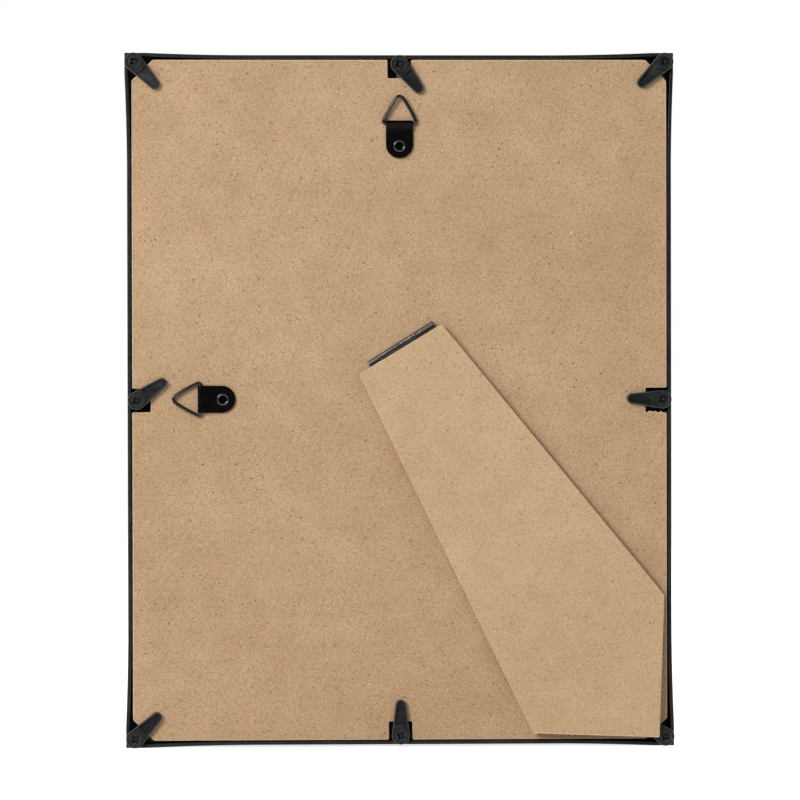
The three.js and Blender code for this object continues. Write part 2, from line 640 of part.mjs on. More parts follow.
// The strut: its two shoulders follow the barrel, and its other corners follow the frame's side and bottom
function easelStrut() {
  const inner = BARREL_RADIUS + SEAT_GAP;
  const toeAt = FRAME_WIDTH / 2 - STRUT_SIDE_GAPS[1];
  const side = fromBarrel(FRAME_WIDTH / 2 - STRUT_SIDE_GAPS[0], STRUT_SIDE_RISE);
  const toe = fromBarrel(toeAt, STRUT_FOOT_GAPS[0]);
  const heel = fromBarrel(toeAt - STRUT_FOOT_LENGTH, STRUT_FOOT_GAPS[1]);
  const outline = new THREE.Shape();
  outline.moveTo(STRUT_SHOULDERS[0], -STRUT_SHOULDER_DROPS[0]);
  outline.lineTo(heel.x, heel.y);
  outline.lineTo(toe.x, toe.y);
  outline.lineTo(side.x, side.y);
  outline.lineTo(STRUT_SHOULDERS[1], -STRUT_SHOULDER_DROPS[1]);
  const board = plate(outline, inner, inner + STRUT_THICK);
  const slits = prongs(0, BARREL_RADIUS + PRONG_LENGTH + PRONG_FIT, PRONG_FIT);
  return named("easel_strut", carve(board, [], slits), strutBoard);
}

function strutAssembly() {
  const hinge = new THREE.Group();
  hinge.applyMatrix4(HINGE_PLACE);
  const outerKnuckles = [KNUCKLES[0], KNUCKLES[2]];
  const panelPlate = [-BARREL_RADIUS, LEAF_THICK - BARREL_RADIUS];
  const strutPlate = [BARREL_RADIUS - LEAF_THICK, BARREL_RADIUS];
  const reach = BARREL_RADIUS + PRONG_LENGTH;
  const pin = crossRod(PIN_RADIUS, -BARREL_LENGTH / 2, BARREL_LENGTH / 2);
  hinge.add(hingeLeaf("hinge_panel_leaf", outerKnuckles, ...panelPlate, -reach));
  hinge.add(named("hinge_pin", pin, blackSteel));
  const folding = new THREE.Group();
  folding.rotation.x = -THREE.MathUtils.degToRad(STRUT_TILT);
  folding.add(hingeLeaf("hinge_strut_leaf", [KNUCKLES[1]], ...strutPlate, reach));
  folding.add(easelStrut());
  hinge.add(folding);
  return hinge;
}

// The whole frame
const backView = new THREE.Group();
backView.rotation.set(Math.PI / 2, 0, Math.PI, "ZYX");
backView.add(frameMoulding());
backView.add(sheet("glazing", 0, GLASS_FRONT, GLASS_THICK, clearGlass));
backView.add(sheet("insert_sheet", SHEET_TRIM, SHEET_FRONT, SHEET_THICK, barePaper));
backView.add(backingPanel());
for (const button of BUTTONS) {
  backView.add(turnButton(button));
  backView.add(buttonScrew(button));
}
for (const place of HANGERS) backView.add(hanger(place));
backView.add(strutAssembly());

// Put the origin under the middle of the whole
const pictureFrame = new THREE.Group();
pictureFrame.add(backView);
pictureFrame.updateMatrixWorld(true);
const whole = new THREE.Box3().setFromObject(pictureFrame, true);
const middle = whole.getCenter(new THREE.Vector3());
backView.position.set(-middle.x, -middle.y, -whole.min.z);

export default pictureFrame;
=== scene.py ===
# Looks of a letter-size picture frame seen from its back: a black moulded frame, a hardboard panel held
# by turn buttons, two ring hangers and a folding easel strut. Metres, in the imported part's own frame: the
# picture faces -Y, the back faces +Y and Z is up, so +X is at the left of someone who looks at the back.
import json
import math
import random

import bmesh
import bpy
from mathutils import Matrix, Vector
from mathutils.geometry import interpolate_bezier


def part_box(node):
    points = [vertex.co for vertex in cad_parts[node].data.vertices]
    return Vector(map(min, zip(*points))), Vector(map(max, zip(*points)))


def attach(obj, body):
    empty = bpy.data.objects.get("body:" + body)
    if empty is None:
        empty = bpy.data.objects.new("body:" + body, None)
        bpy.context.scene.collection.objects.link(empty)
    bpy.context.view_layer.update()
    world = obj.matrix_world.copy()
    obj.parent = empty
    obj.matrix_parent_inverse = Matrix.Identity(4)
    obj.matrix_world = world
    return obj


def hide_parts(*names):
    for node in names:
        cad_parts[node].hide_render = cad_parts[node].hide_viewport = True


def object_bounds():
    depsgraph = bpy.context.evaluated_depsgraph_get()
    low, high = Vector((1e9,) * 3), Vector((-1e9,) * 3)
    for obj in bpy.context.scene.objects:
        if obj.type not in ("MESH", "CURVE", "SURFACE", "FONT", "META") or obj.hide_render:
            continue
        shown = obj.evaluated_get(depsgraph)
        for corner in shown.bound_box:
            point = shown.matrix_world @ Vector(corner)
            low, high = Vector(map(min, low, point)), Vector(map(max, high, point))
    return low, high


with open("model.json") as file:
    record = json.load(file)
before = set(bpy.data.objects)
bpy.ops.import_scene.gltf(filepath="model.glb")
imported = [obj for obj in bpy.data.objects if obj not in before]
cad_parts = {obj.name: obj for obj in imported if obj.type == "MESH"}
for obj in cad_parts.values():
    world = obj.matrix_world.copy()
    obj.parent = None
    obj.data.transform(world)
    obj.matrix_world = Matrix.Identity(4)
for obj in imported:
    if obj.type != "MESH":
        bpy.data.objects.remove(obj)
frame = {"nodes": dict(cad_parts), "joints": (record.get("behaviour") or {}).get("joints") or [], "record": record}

cad_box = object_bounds()

MM = 0.001
RECORD = frame["record"]
JOINTS = {joint["name"]: joint for joint in frame["joints"]}
BODY_OF = {node: body for body, nodes in RECORD["behaviour"]["bodies"].items() for node in nodes}
PLACES = [name.removeprefix("button_turn_") for name in JOINTS if name.startswith("button_turn_")]
OUT = Vector((0.0, 1.0, 0.0))  # out of the back

# Shaping of the pieces
MERGE_DISTANCE = 0.001 * MM
FLAT_ANGLE = math.radians(0.5)
SHARP_ANGLE = math.radians(38)
CREASE_ANGLE = math.radians(50)
FRAME_ROUND = 0.35 * MM
# faces more than this below the frame's rim get painted light
INSIDE_DEPTH = 1.0 * MM
BOARD_ROUND = 0.25 * MM
PANEL_CORNER_ROUND = 0.6 * MM
STRUT_CORNER_ROUND = 0.6 * MM
PALE_EDGE = 0.3 * MM  # a band of raised fibres along the strut's foot
DOWN_LOOKING = -0.6  # a side whose outward direction has a lower rise than this looks down
STRAP_ROUND = 0.13 * MM
HINGE_ROUND = 0.08 * MM
GLASS_ROUND = 0.3 * MM
THROUGH_LEAN = 0.99  # an edge runs straight through a board where it leans out by more than this
THROUGH_SHARE = 0.9  # and is longer than this share of the longest one
FACING_OUT = 0.5  # a face looks out of the back where its normal leans out by more than this
CUT_FACE_LEAN = 0.97  # a board's face counts as cut where its normal leans out by less than this
# these rounded faces get the painted highlight
ROUNDED_LEAN = (0.3, 0.97)  # a button's rounded faces lean out by between these
ROUND_STEPS = 4

# Turn buttons
BUTTON_HEAD_RADIUS = 3.95 * MM
BUTTON_TIP_RADIUS = 2.25 * MM
BUTTON_REACH = 15.6 * MM
BUTTON_ROUND = 0.45 * MM
POCKET_START = 5.0 * MM
POCKET_RIM = 0.85 * MM
POCKET_DEPTH = 1.0 * MM
POCKET_DRAFT = 0.15 * MM
POCKET_ROUND = 0.14 * MM
SEAT_RADIUS = 2.7 * MM
SEAT_DEPTH = 0.3 * MM
SEAT_ROUND = 0.15 * MM
SCREW_HOLE_RADIUS = 1.55 * MM
HEAD_STEPS = 44
TIP_STEPS = 22
POCKET_STEPS = 12
CIRCLE_STEPS = 40

# Screws, with a thread and a tapered cross recess
SCREW_HEAD_RADIUS = 2.6 * MM
SCREW_HEAD_ROUND = 0.16 * MM
SCREW_RADIUS = 1.45 * MM
SCREW_TIP = 1.2 * MM
THREAD_PITCH = 0.9 * MM
THREAD_DEPTH = 0.3 * MM
RECESS_ARM = 1.85 * MM
RECESS_HALF = 0.45 * MM
RECESS_MIDDLE = 0.64 * MM
RECESS_END_CUT = 0.2 * MM
RECESS_DEPTH = 0.8 * MM
RECESS_TAPER = 0.18 * MM
RECESS_CONE = 0.45 * MM
RECESS_ROUND = 0.08 * MM
SCREW_TURN = (math.radians(28), math.radians(62))  # each screw stopped at another angle between these
SCREW_SEED = 4

# Torn lower side of the right notch
NOTCH_HALF = 5.15 * MM
NOTCH_REACH = 20.0 * MM  # the notch ends nearer to its button's pivot than this
NOTCH_SLACK = 0.05 * MM
TORN_COLUMN = 0.1 * MM
TORN_STEPS = 19
TORN_DEPTH = 0.75 * MM
TORN_SPREAD = (-0.4, 1.0)  # each tooth's share of that depth lies between these
TORN_SEED = 5

# Ring hangers
STRAP_WIDTH = 11.9 * MM
WIRE_RADIUS = 0.75 * MM
WIRE_SIDES = 14
RING_HEIGHT = 12.6 * MM
RING_BASE_BEND = 1.05 * MM
RING_APEX_BEND = 2.0 * MM
RING_SIDE_BOW = math.radians(4)
RING_PAST_STRAP = 0.05 * MM
RING_JOINT_GAP = 0.4 * MM
BEND_STEPS = 14
SIDE_STEPS = 12
EYELET_SEGMENTS = 48
ROLL_STEPS = 9
EYELET_BORE = 1.65 * MM
EYELET_BARREL = 2.1 * MM
EYELET_FLANGE = 2.75 * MM
EYELET_FOOT_THICK = 0.5 * MM
EYELET_FOOT_RIM = 0.45 * MM
EYELET_ROLL_RISE = 0.45 * MM

# Colours, linear
PANEL_TAN = (0.525, 0.349, 0.203, 1.0)
STRUT_TAN = (0.58, 0.402, 0.236, 1.0)
WARM_SHIFT = (1.014, 0.991, 0.973, 1.0)
COOL_SHIFT = (0.986, 1.009, 1.027, 1.0)
TONE_SHARES = (0.84, 1.0, 1.24)  # how far red, green and blue follow the felt's light and dark
CUT_TAN = (0.88, 0.74, 0.56, 1.0)
STRUT_CUT_TAN = (0.7, 0.52, 0.33, 1.0)
PALE_TAN = (0.8, 0.62, 0.42, 1.0)
FIBRE_BROWN = (0.22, 0.1, 0.045, 1.0)
SPECK_BROWN = (0.08, 0.042, 0.022, 1.0)
PALE_FLECK = (0.76, 0.6, 0.42, 1.0)
FRAME_BLACK = (0.0065, 0.0061, 0.0059, 1.0)
FRAME_SCUFF = (0.03, 0.029, 0.028, 1.0)
# painted light: a much lighter black for the frame's hollows, which lie in shade
FRAME_HOLLOW_FILL = (0.12, 0.114, 0.11, 1.0)
BUTTON_BLACK = (0.0086, 0.0087, 0.0091, 1.0)
# painted shade: a button's pocket and other low faces are painted darker than its black
POCKET_SHADE = (0.0062, 0.0066, 0.0077, 1.0)
# painted highlight: a button's rounded edges are painted lighter than its black; also the pocket's scuff colour
BUTTON_HIGHLIGHT_AND_SCUFF = (0.07, 0.07, 0.071, 1.0)
BUTTON_SCUFF = (0.07, 0.07, 0.072, 1.0)
SCREW_BLACK = (0.0095, 0.0095, 0.0097, 1.0)
# painted shade: the walls of a screw's cross recess are painted near black
RECESS_SHADE = (0.0015, 0.0015, 0.0015, 1.0)
STEEL_GREY = (0.16, 0.155, 0.15, 1.0)
STRAP_BLACK = (0.0022, 0.0017, 0.0015, 1.0)
WIRE_BLACK = (0.004, 0.0038, 0.0036, 1.0)
HINGE_BLACK = (0.22, 0.216, 0.21, 1.0)
EYELET_DARK = (0.09, 0.09, 0.09, 1.0)
EYELET_BRIGHT = (0.25, 0.245, 0.24, 1.0)
PAPER_WHITE = (0.84, 0.82, 0.77, 1.0)
PAPER_SHADE = (0.78, 0.755, 0.70, 1.0)
GLASS_TINT = (0.965, 0.985, 0.975, 1.0)
FLOOR_WHITE = (0.8, 0.8, 0.8, 1.0)
WHITE = (1.0, 1.0, 1.0, 1.0)

# Clouds, felt, brown fibres, specks and one nick in the boards
CLOUD_SIZE = 80.0 * MM
CLOUD_SHARE = 0.35  # of the felt's contrast
MOTTLE_SIZE = 10.0 * MM
MOTTLE_SHARE = 0.26
HUE_SIZE = 7.0 * MM
FELT_LENGTH = 1.15 * MM
FELT_WIDTH = 0.27 * MM
FELT_TURNS = [math.radians(10 + 45 * order) for order in range(4)]
FIBRE_LENGTH = 4.6 * MM
FIBRE_WIDTH = 1.05 * MM
FIBRE_TURNS = [math.radians(27 + 61 * order) for order in range(4)]
SPECK_CELL = (4.4 * MM, 3.6 * MM)
SPECK_TURN = 0.4
NICK_PLACE = (-75.2 * MM, 224.7 * MM, 0.0)
NICK_TURN = math.radians(-55)
NICK_LENGTH = 2.6 * MM
NICK_WIDTH = 1.1 * MM
BOARD_TOOTH = 0.5 * MM
BOARD_TOOTH_DEPTH = 0.05 * MM

# Sizes of marks and grain in the other finishes
LAYER_SIZE = 1.5 * MM
LAYER_TOOTH = 0.4 * MM
LAYER_TOOTH_DEPTH = 0.08 * MM
LAYER_SQUEEZE = (1.0, 6.0, 1.0)
SCUFF_SIZE = 2.2 * MM
SCUFF_PATCH = 19.0 * MM
SCUFF_STRETCH = (0.25, 1.0, 1.0)
PLASTIC_SHEEN = 6.0 * MM
PLASTIC_GRAIN = 0.35 * MM
PLASTIC_GRAIN_DEPTH = 0.02 * MM
RUB_SIZE = 1.4 * MM
METAL_SHEEN = 3.0 * MM
PORE_SIZE = 0.9 * MM
PORE_DEPTH = 0.015 * MM
SMEAR_SIZE = 38.0 * MM
PAPER_MOTTLE = 1.1 * MM
PAPER_GRAIN = 0.5 * MM
PAPER_GRAIN_DEPTH = 0.02 * MM

# View and light
IMAGE_SIZE = 800
PIXEL = 0.4372 * MM  # size of a pixel at the panel
CAMERA_DISTANCE = 1.8
CAMERA_YAW = math.radians(1.8)  # towards the left of the picture
CAMERA_PITCH = math.radians(0.5)
CAMERA_ROLL = 0.0021
SENSOR = 36.0
KEY_DIRECTION = Vector((0.62, 1.0, 0.45))
KEY_DISTANCE = 1.7
KEY_SIZE = 0.6
KEY_POWER = 18.7
FILL_DIRECTION = Vector((-0.5, -1.0, 0.55))
FILL_DISTANCE = 1.9
FILL_SIZE = 1.0
FILL_POWER = 12.0
AMBIENT = 0.385
ROOM_GLOW = 0.12  # the room behind the camera, in mirrored light
ROOM_EDGE = (-0.6, 0.05)  # a direction's share out of the back, where the room begins and is dim
FLOOR_GAP = 0.02 * MM
FLOOR_REACH = 6.0
FLOOR_END = 0.6  # the dim room's floor begins this far behind the frame
FLOOR_GLOW = 0.75


# Node materials
def add_node(tree, kind, inputs=None, **settings):
    """A new shader node; an input is a value or another node's output."""
    node = tree.nodes.new("ShaderNode" + kind)
    for name, value in settings.items():
        setattr(node, name, value)
    for name, value in (inputs or {}).items():
        if isinstance(value, bpy.types.NodeSocket):
            tree.links.new(value, node.inputs[name])
        else:
            node.inputs[name].default_value = value
    return node


class Finish:
    """A material made of nodes around one Principled shader, laid out in metres on the piece."""

    def __init__(self, name, **values):
        self.material = bpy.data.materials.new(name)
        self.material.use_nodes = True
        self.tree = self.material.node_tree
        self.shader = self.tree.nodes["Principled BSDF"]
        for socket, value in values.items():
            self.shader.inputs[socket.replace("_", " ")].default_value = value
        self.place = self.add("TexCoord").outputs["Object"]

    def add(self, kind, inputs=None, **settings):
        return add_node(self.tree, kind, inputs, **settings)

    def give(self, socket, value):
        self.tree.links.new(value, self.shader.inputs[socket])

    def flat_place(self):
        """Places in the plane of the boards."""
        parts = self.add("SeparateXYZ", {"Vector": self.place})
        inputs = {"X": parts.outputs["X"], "Y": parts.outputs["Z"]}
        return self.add("CombineXYZ", inputs).outputs["Vector"]

    def stretched(self, place, turn, length, width):
        """Places turned by an angle and measured in units of `length` and `width`."""
        inputs = {"Vector": place, "Rotation": (0.0, 0.0, turn), "Scale": (length, width, width)}
        return self.add("Mapping", inputs, vector_type="TEXTURE").outputs["Vector"]

    def noise(self, size, detail=2.0, roughness=0.5, place=None):
        """Noise from 0 to 1 with features of about `size`."""
        at = place or self.place
        inputs = {"Vector": at, "Scale": 1.0 / size, "Detail": detail, "Roughness": roughness}
        return self.add("TexNoise", inputs).outputs["Fac"]

    def spread(self, value, low, high, to_low, to_high):
        inputs = {"Value": value, "From Min": low, "From Max": high, "To Min": to_low, "To Max": to_high}
        return self.add("MapRange", inputs).outputs["Result"]

    def maths(self, operation, first, second):
        return self.add("Math", {0: first, 1: second}, operation=operation).outputs["Value"]

    def mix(self, share, first, second):
        """From the first colour at 0 to the second at 1."""
        node = self.add("Mix", {0: share, 6: first, 7: second}, data_type="RGBA")
        return node.outputs[2]

    def around_one(self, noise, share):
        """A factor that follows the noise, up to `share` more or less than 1."""
        return self.spread(noise, 0.3, 0.7, 1 - share, 1 + share)

    def toned(self, colour, tone):
        """The colour made lighter and darker by a tone about 1, with little change of its hue."""
        inputs = {"Vector": TONE_SHARES, "Scale": self.maths("SUBTRACT", tone, 1.0)}
        change = self.add("VectorMath", inputs, operation="SCALE").outputs["Vector"]
        factor = self.add("VectorMath", {0: change, 1: WHITE[:3]}, operation="ADD").outputs["Vector"]
        return self.add("VectorMath", {0: colour, 1: factor}, operation="MULTIPLY").outputs["Vector"]

    def patch(self, place, middle, turn, length, width):
        """1 in the middle of one oval mark, fading to 0 at its rim."""
        scale = (length, width, width)
        inputs = {"Vector": place, "Location": middle, "Rotation": (0.0, 0.0, turn), "Scale": scale}
        near = self.add("Mapping", inputs, vector_type="TEXTURE").outputs["Vector"]
        reach = self.add("VectorMath", {0: near}, operation="LENGTH").outputs["Value"]
        return self.spread(reach, 0.4, 1.0, 1.0, 0.0)

    def spots(self, place, chance, radius, softness):
        """1 in scattered spots and 0 elsewhere; `chance` of the unit cells hold one of up to `radius`."""
        cells = self.add("TexVoronoi", {"Vector": place, "Scale": 1.0}, voronoi_dimensions="2D")
        luck = self.add("SeparateColor", {"Color": cells.outputs["Color"]}).outputs["Red"]
        size = self.spread(luck, 1.0 - chance, 1.0, 0.0, radius)
        inside = self.maths("SUBTRACT", size, cells.outputs["Distance"])
        return self.spread(inside, 0.0, softness, 0.0, 1.0)

    def bump(self, height, distance, strength):
        node = self.add("Bump", {"Height": height, "Distance": distance, "Strength": strength})
        self.give("Normal", node.outputs["Normal"])


def shifted(colour, shift):
    return tuple(part * factor for part, factor in zip(colour, shift))


def board_finish(name, colour, contrast, speck_chance, fibre_share):
    """Raw hardboard: a felt of fine crossing fibres, some of them brown, with dark specks."""
    finish = Finish(name, Roughness=0.82, Specular_IOR_Level=0.18)
    plane = finish.flat_place()
    clouds = finish.around_one(finish.noise(CLOUD_SIZE, 3.0), CLOUD_SHARE * contrast)
    mottle = finish.around_one(finish.noise(MOTTLE_SIZE, 2.0), MOTTLE_SHARE * contrast)
    tone = finish.maths("MULTIPLY", clouds, mottle)
    for turn in FELT_TURNS:
        lying = finish.stretched(plane, turn, FELT_LENGTH, FELT_WIDTH)
        felt = finish.spread(finish.noise(1.0, 1.0, 0.5, lying), 0.25, 0.75, 1 - contrast, 1 + contrast)
        tone = finish.maths("MULTIPLY", tone, felt)
    hue = finish.spread(finish.noise(HUE_SIZE, 3.0, 0.7), 0.3, 0.7, 0.0, 1.0)
    base = finish.mix(hue, shifted(colour, WARM_SHIFT), shifted(colour, COOL_SHIFT))
    surface = finish.toned(base, tone)
    for turn in FIBRE_TURNS:
        fibres = finish.spots(finish.stretched(plane, turn, FIBRE_LENGTH, FIBRE_WIDTH), 0.55, 0.2, 0.07)
        surface = finish.mix(finish.maths("MULTIPLY", fibres, fibre_share), surface, FIBRE_BROWN)
    specks = finish.spots(finish.stretched(plane, SPECK_TURN, *SPECK_CELL), speck_chance, 0.13, 0.06)
    surface = finish.mix(finish.maths("MULTIPLY", specks, 0.75), surface, SPECK_BROWN)
    nick = finish.patch(plane, NICK_PLACE, NICK_TURN, NICK_LENGTH / 2, NICK_WIDTH / 2)
    surface = finish.mix(finish.maths("MULTIPLY", nick, 0.8), surface, PALE_FLECK)
    finish.give("Base Color", surface)
    finish.bump(finish.noise(BOARD_TOOTH, 3.0), BOARD_TOOTH_DEPTH, 0.5)
    return finish


def cut_board_finish(name, colour):
    """The cut edge of a board: paler, with the layers of its fibres."""
    finish = Finish(name, Roughness=0.9, Specular_IOR_Level=0.1)
    layers = finish.add("Mapping", {"Vector": finish.place, "Scale": LAYER_SQUEEZE}).outputs["Vector"]
    share = finish.spread(finish.noise(LAYER_SIZE, 4.0, 0.6, layers), 0.35, 0.7, 0.0, 0.6)
    finish.give("Base Color", finish.mix(share, colour, PANEL_TAN))
    finish.bump(finish.noise(LAYER_TOOTH, 3.0, 0.6, layers), LAYER_TOOTH_DEPTH, 0.7)
    return finish


def plastic_finish(name, colour, scuff, scuff_share, gloss, specular):
    """Moulded black plastic with a fine grain, uneven gloss and faint scuffs."""
    finish = Finish(name, Specular_IOR_Level=specular)
    streaks = finish.add("Mapping", {"Vector": finish.place, "Scale": SCUFF_STRETCH}).outputs["Vector"]
    scuffs = finish.noise(SCUFF_SIZE, 5.0, 0.7, streaks)
    wear = finish.maths("MULTIPLY", scuffs, finish.noise(SCUFF_PATCH, 2.0))
    share = finish.spread(wear, 0.22, 0.42, 0.0, scuff_share)
    finish.give("Base Color", finish.mix(share, colour, scuff))
    uneven = finish.noise(PLASTIC_SHEEN, 3.0)
    finish.give("Roughness", finish.spread(uneven, 0.3, 0.7, gloss - 0.07, gloss + 0.09))
    finish.bump(finish.noise(PLASTIC_GRAIN, 2.0), PLASTIC_GRAIN_DEPTH, 0.35)
    return finish


def metal_finish(name, colour, worn, worn_share, gloss, **values):
    """Coated metal: small pores, handling marks and places where the coat is thin."""
    finish = Finish(name, **values)
    rubbed = finish.spread(finish.noise(RUB_SIZE, 5.0, 0.75), 0.58, 0.72, 0.0, worn_share)
    finish.give("Base Color", finish.mix(rubbed, colour, worn))
    uneven = finish.noise(METAL_SHEEN, 4.0, 0.6)
    finish.give("Roughness", finish.spread(uneven, 0.3, 0.7, gloss - 0.06, gloss + 0.1))
    finish.bump(finish.noise(PORE_SIZE, 2.0), PORE_DEPTH, 0.3)
    return finish


def glass_finish():
    """Clear picture glass with the faintest smears."""
    finish = Finish("clear_sheet_glass", Transmission_Weight=1.0, IOR=1.47, Base_Color=GLASS_TINT)
    smears = finish.spread(finish.noise(SMEAR_SIZE, 4.0, 0.6), 0.45, 0.75, 0.0, 0.05)
    finish.give("Roughness", smears)
    return finish


def paper_finish():
    """Blank uncoated paper."""
    finish = Finish("blank_paper", Roughness=0.9, Specular_IOR_Level=0.1)
    share = finish.spread(finish.noise(PAPER_MOTTLE, 4.0, 0.6), 0.3, 0.7, 0.0, 0.5)
    finish.give("Base Color", finish.mix(share, PAPER_WHITE, PAPER_SHADE))
    finish.bump(finish.noise(PAPER_GRAIN, 2.0), PAPER_GRAIN_DEPTH, 0.3)
    return finish


panel_face = board_finish("panel_hardboard", PANEL_TAN, 0.19, 0.3, 0.5)
strut_face = board_finish("strut_hardboard", STRUT_TAN, 0.155, 0.1, 0.36)
board_edge = cut_board_finish("board_cut_edge", CUT_TAN)
strut_edge = cut_board_finish("strut_cut_edge", STRUT_CUT_TAN)
raised_edge = cut_board_finish("strut_raised_fibres", PALE_TAN)
frame_black = plastic_finish("frame_moulded_black", FRAME_BLACK, FRAME_SCUFF, 0.5, 0.46, 0.25)
# painted light in the frame's shaded hollows
frame_hollow_fill = plastic_finish("frame_hollow_painted_light", FRAME_HOLLOW_FILL, FRAME_SCUFF, 0.5, 0.6, 0.2)
frame_edge = plastic_finish("frame_rubbed_edge", FRAME_BLACK, FRAME_SCUFF, 0.9, 0.38, 0.4)
button_black = plastic_finish("button_moulded_black", BUTTON_BLACK, BUTTON_SCUFF, 0.3, 0.46, 0.18)
# painted highlight on the buttons' rounded edges, with faint scuffs
button_highlight = plastic_finish("button_painted_edge_highlight", BUTTON_HIGHLIGHT_AND_SCUFF, BUTTON_SCUFF, 0.9, 0.36, 0.5)
# painted shade in the buttons' pockets
pocket_shade = plastic_finish("button_pocket_painted_shade", POCKET_SHADE, BUTTON_HIGHLIGHT_AND_SCUFF, 0.5, 0.5, 0.17)
screw_black = metal_finish("screw_black", SCREW_BLACK, STEEL_GREY, 0.12, 0.34, Specular_IOR_Level=0.4)
# painted shade on the walls of the screws' cross recesses
recess_painted_shade = metal_finish("recess_painted_shade", RECESS_SHADE, SCREW_BLACK, 0.3, 0.6, Specular_IOR_Level=0.05)
recess_worn = metal_finish("recess_worn", SCREW_BLACK, STEEL_GREY, 0.3, 0.26, Specular_IOR_Level=0.4)
strap_black = metal_finish("strap_gloss_black", STRAP_BLACK, STEEL_GREY, 0.015, 0.26,
                           Specular_IOR_Level=0.1)
strap_edge = metal_finish("strap_rubbed_edge", WIRE_BLACK, STEEL_GREY, 0.15, 0.26, Specular_IOR_Level=0.5)
wire_black = metal_finish("ring_wire_black", WIRE_BLACK, STEEL_GREY, 0.03, 0.13, Specular_IOR_Level=0.6)
hinge_black = metal_finish("hinge_black", HINGE_BLACK, STEEL_GREY, 0.5, 0.2, Metallic=1.0)
eyelet_plated = metal_finish("eyelet_plated", EYELET_DARK, EYELET_BRIGHT, 0.7, 0.16, Metallic=1.0)
sheet_glass = glass_finish()
blank_paper = paper_finish()


# Making the pieces
def solid_copy(node):
    """The node's solid as one mesh with whole flat faces."""
    bm = bmesh.new()
    bm.from_mesh(frame["nodes"][node].data)
    bmesh.ops.remove_doubles(bm, verts=bm.verts, dist=MERGE_DISTANCE)
    bmesh.ops.dissolve_limit(bm, angle_limit=FLAT_ANGLE, verts=bm.verts, edges=bm.edges)
    return bm


def sharp_edges(bm):
    return [edge for edge in bm.edges if edge.is_manifold and edge.calc_face_angle() > SHARP_ANGLE]


def round_edges(bm, edges, radius, segments, material=-1):
    bmesh.ops.bevel(bm, geom=edges, offset=radius, segments=segments, profile=0.5, affect="EDGES",
                    clamp_overlap=False, material=material)


def upright_edges(bm):
    """The edges at a board's corners: those that run right through it, and none in shallower slots."""
    upright = [edge for edge in sharp_edges(bm)
               if abs((edge.verts[1].co - edge.verts[0].co).normalized().dot(OUT)) > THROUGH_LEAN]
    thickness = max(edge.calc_length() for edge in upright)
    return [edge for edge in upright if edge.calc_length() > THROUGH_SHARE * thickness]


def show(bm, node, finishes):
    """Makes the mesh an object that stands for the node and moves with its body."""
    for face in bm.faces:
        face.smooth = True
    for edge in bm.edges:
        edge.smooth = edge.calc_face_angle(0.0) < CREASE_ANGLE
    name = node + "_look"
    mesh = bpy.data.meshes.new(name)
    bm.to_mesh(mesh)
    bm.free()
    for finish in finishes:
        mesh.materials.append(finish.material)
    piece = bpy.data.objects.new(name, mesh)
    bpy.context.scene.collection.objects.link(piece)
    even = piece.modifiers.new("even_normals", "WEIGHTED_NORMAL")
    even.keep_sharp = True
    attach(piece, BODY_OF[node])
    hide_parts(node)
    return piece


def rounded_piece(node, radius, segments, finishes):
    """The node with rounded edges; a second finish goes on the rounded edges."""
    bm = solid_copy(node)
    round_edges(bm, sharp_edges(bm), radius, segments, len(finishes) - 1)
    return show(bm, node, finishes)


def make_moulding():
    """The frame, with painted light on what lies inside its rim: a duller and much lighter black where it lies in
    shade.
    """
    bm = solid_copy("frame_moulding")
    rim = max(vert.co.y for vert in bm.verts)
    round_edges(bm, sharp_edges(bm), FRAME_ROUND, 3, 1)
    for face in bm.faces:
        # faces deep inside the rim get the painted light
        if face.normal.dot(OUT) > FACING_OUT and face.calc_center_median().y < rim - INSIDE_DEPTH:
            face.material_index = 2
    show(bm, "frame_moulding", [frame_black, frame_edge, frame_hollow_fill])


def mark_cut_faces(bm):
    for face in bm.faces:
        face.material_index = 1 if abs(face.normal.dot(OUT)) < CUT_FACE_LEAN else 0


def tear_notch(bm):
    """Makes the lower side of the right notch ragged."""
    pivot = Vector(JOINTS["button_turn_right"]["pos_m"])
    level = pivot.z - NOTCH_HALF

    def on_side(vert):
        return abs(vert.co.z - level) < NOTCH_SLACK and vert.co.x < pivot.x + NOTCH_REACH

    side = [edge for edge in bm.edges if all(on_side(vert) for vert in edge.verts)
            and abs(edge.verts[0].co.x - edge.verts[1].co.x) > TORN_COLUMN]
    bmesh.ops.subdivide_edges(bm, edges=side, cuts=TORN_STEPS, use_grid_fill=True)
    luck = random.Random(TORN_SEED)
    depth_at = {}
    for vert in bm.verts:
        if on_side(vert):
            column = round(vert.co.x / TORN_COLUMN)
            if column not in depth_at:
                depth_at[column] = luck.uniform(*TORN_SPREAD) * TORN_DEPTH
            vert.co.z -= depth_at[column]


def arc(centre_x, centre_y, radius, start, end, steps):
    turns = [start + (end - start) * step / steps for step in range(steps + 1)]
    return [(centre_x + radius * math.cos(turn), centre_y + radius * math.sin(turn)) for turn in turns]


def circle(radius):
    return arc(0.0, 0.0, radius, 0.0, 2 * math.pi, CIRCLE_STEPS)[:-1]


def rounding(radius):
    """Pairs of inset and drop along a quarter round, from an upright side to a flat top."""
    turns = [math.pi / 2 * step / ROUND_STEPS for step in range(ROUND_STEPS + 1)]
    return [(radius * (1 - math.cos(turn)), radius * (1 - math.sin(turn))) for turn in turns]


def wall(bm, outline, profile):
    """Joins loops of an outline, one for each size and level in the profile, and gives the end loops."""
    loops = [[bm.verts.new((x, y, level)) for x, y in outline(size)] for size, level in profile]
    for lower, upper in zip(loops, loops[1:]):
        for order in range(len(lower)):
            bm.faces.new((lower[order - 1], lower[order], upper[order], upper[order - 1]))
    return loops[0], loops[-1]


